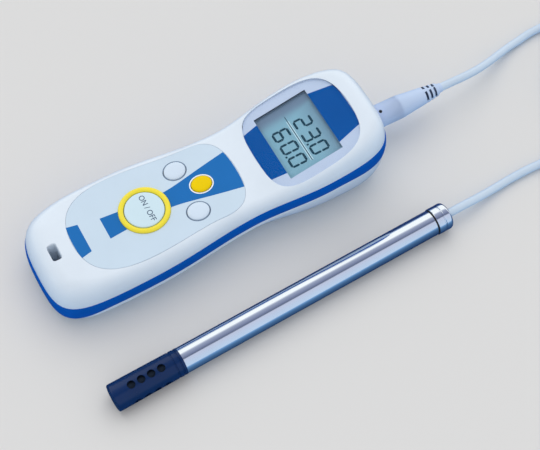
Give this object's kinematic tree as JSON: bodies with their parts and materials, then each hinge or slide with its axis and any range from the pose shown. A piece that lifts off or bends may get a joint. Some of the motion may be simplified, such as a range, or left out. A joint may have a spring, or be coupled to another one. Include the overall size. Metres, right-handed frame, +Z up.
{
  "type": "handheld thermo-hygrometer",
  "caption": "Handheld temperature and humidity meter with a display head, four keys and a steel probe that plugs in by a cord.",
  "frame": {"origin": "on the resting surface, under the middle of the meter's back", "axes": "+Z up out of the face, +Y towards the display end, +X to the right of the display"},
  "size_m": [0.1066, 0.3376, 0.043],
  "materials": {
    "shell": "satin moulded",
    "blue_trim": "satin moulded",
    "clear": "clear",
    "print": "printed film",
    "lcd": "liquid crystal cell",
    "black_plastic": "moulded",
    "rubber": "soft",
    "circuit": "solder mask",
    "film": "film",
    "screw": "zinc plated",
    "yellow": "moulded",
    "key_grey": "satin",
    "key_white": "satin",
    "cell": "printed sleeve",
    "spring": "nickel plated",
    "plated": "nickel plated",
    "wire": "insulated",
    "gold": "gold plated",
    "cord_grey": "moulded soft plastic",
    "polished": "polished stainless steel",
    "navy": "moulded",
    "filter": "sintered"
  },
  "bodies": {
    "meter": {"front_shell": "shell", "trim_band": "blue_trim", "rear_shell": "shell", "window_lens": "clear", "window_mask": "print", "lcd_glass": "lcd", "lcd_frame": "black_plastic", "contact_strips": "rubber", "display_board": "circuit", "display_ribbon": "film", "main_board": "circuit", "board_chips": "black_plastic", "board_screws": "screw", "key_overlay": "print", "key_mat": "rubber", "power_ring": "yellow", "battery_cells": "cell", "battery_springs": "spring", "battery_plates": "spring", "case_screws": "screw", "socket_barrel": "plated", "socket_insert": "black_plastic", "socket_nut": "plated", "socket_leads": "wire"},
    "power": {"power_key": "key_grey"},
    "mode": {"mode_key": "key_white"},
    "hold": {"hold_key": "yellow"},
    "minmax": {"minmax_key": "key_white"},
    "door": {"battery_door": "shell"},
    "probe": {"plug_body": "cord_grey", "plug_shell": "plated", "plug_insert": "key_white", "plug_pins": "gold", "cord_meter_side": "cord_grey", "cord_coil": "cord_grey", "cord_probe_side": "cord_grey", "probe_tube": "polished", "probe_seam": "rubber", "probe_cap": "polished", "sensor_guard": "navy", "guard_filter": "filter", "sensor_bush": "black_plastic", "sensor_board": "circuit", "humidity_sensor": "key_white", "temperature_bead": "black_plastic"}
  },
  "joints": [
    {"name": "power_press", "type": "slide", "parent": "meter", "child": "power", "axis": [0, 0, -1], "range_m": [0, 0.0008], "stiffness_N_per_m": 1500},
    {"name": "mode_press", "type": "slide", "parent": "meter", "child": "mode", "axis": [0, 0, -1], "range_m": [0, 0.0008], "stiffness_N_per_m": 1500},
    {"name": "hold_press", "type": "slide", "parent": "meter", "child": "hold", "axis": [0, 0, -1], "range_m": [0, 0.0008], "stiffness_N_per_m": 1500},
    {"name": "minmax_press", "type": "slide", "parent": "meter", "child": "minmax", "axis": [0, 0, -1], "range_m": [0, 0.0008], "stiffness_N_per_m": 1500},
    {"name": "door_slide", "type": "slide", "parent": "meter", "child": "door", "axis": [0, -1, 0], "range_m": [0, 0.024]},
    {"name": "plug_pull", "type": "slide", "parent": "meter", "child": "probe", "axis": [0, 1, 0], "range_m": [0, 0.012]}
  ]
}
